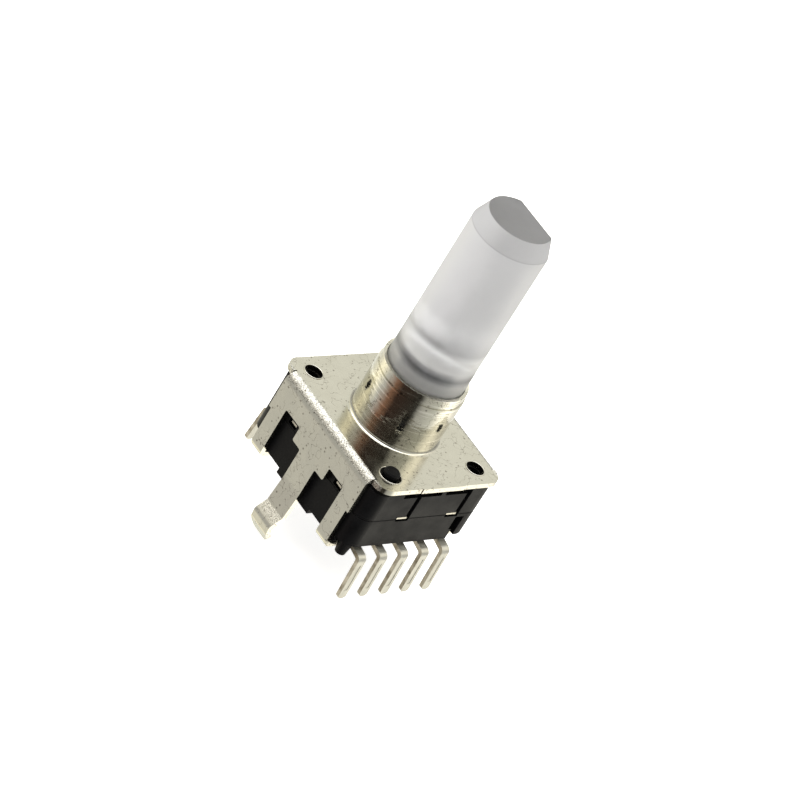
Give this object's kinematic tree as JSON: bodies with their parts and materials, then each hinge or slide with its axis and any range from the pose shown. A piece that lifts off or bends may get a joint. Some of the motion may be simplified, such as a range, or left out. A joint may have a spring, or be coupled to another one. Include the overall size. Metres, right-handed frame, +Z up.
{
  "type": "illuminated rotary encoder with push switch",
  "caption": "Board-mounted rotary encoder with a light-pipe shaft, a sheet-metal bushing cover with snap legs, a black moulded body, bent terminals and a push switch.",
  "frame": {"origin": "where the shaft's axis meets the top face of the circuit board that the encoder stands on", "axes": "+Z up along the shaft towards its tip, -Y towards the row of five terminals, +Y towards the row of three, -X and +X towards the two snap legs"},
  "size_m": [0.0142, 0.0155, 0.0292],
  "materials": {
    "cover_plate": "tin-plated sheet steel, satin with fine specks",
    "housing": "black moulded plastic, satin",
    "tie_metal": "sheared bright metal",
    "terminal_plate": "tin-plated brass, satin",
    "light_pipe": "translucent frosted plastic",
    "washer": "slippery natural plastic",
    "rotor": "black moulded plastic",
    "spring_metal": "bare spring steel",
    "contact_metal": "phosphor bronze",
    "plunger": "natural moulded plastic",
    "lens": "clear cast resin",
    "die_red": "polished chip",
    "die_green": "polished chip"
  },
  "bodies": {
    "base": {"bushing_frame": "cover_plate", "upper_housing": "housing", "lower_housing": "housing", "lead_frame_ties": "tie_metal", "thrust_washer": "washer", "detent_spring": "spring_metal", "wiper_a": "contact_metal", "wiper_common": "contact_metal", "wiper_b": "contact_metal", "encoder_terminal_a": "terminal_plate", "encoder_terminal_common": "terminal_plate", "encoder_terminal_b": "terminal_plate", "switch_terminal_inner": "terminal_plate", "led_terminal_red": "terminal_plate", "led_terminal_common": "terminal_plate", "led_terminal_green": "terminal_plate", "switch_terminal_outer": "terminal_plate", "switch_dome": "spring_metal", "switch_contact_outer": "contact_metal", "switch_contact_inner": "contact_metal", "led_cup": "contact_metal", "led_die_red": "die_red", "led_die_green": "die_green", "led_lens": "lens"},
    "rotor": {"rotor_hub": "rotor", "code_disc": "contact_metal"},
    "shaft": {"light_pipe_shaft": "light_pipe"},
    "plunger": {"switch_plunger": "plunger"}
  },
  "joints": [
    {"name": "rotor_spin", "type": "hinge", "parent": "base", "child": "rotor", "pos_m": [0, 0, 0], "axis": [0, 0, 1], "continuous": true},
    {"name": "shaft_push", "type": "slide", "parent": "rotor", "child": "shaft", "axis": [0, 0, -1], "range_m": [0, 0.0005], "stiffness_N_per_m": 8000, "springref_m": -0.0001, "deforming": ["switch_dome"]},
    {"name": "plunger_slide", "type": "slide", "parent": "base", "child": "plunger", "axis": [0, 0, -1], "range_m": [0, 0.0005]}
  ],
  "couplings": [
    {"joint": "plunger_slide", "follows": "shaft_push", "ratio": 1}
  ]
}
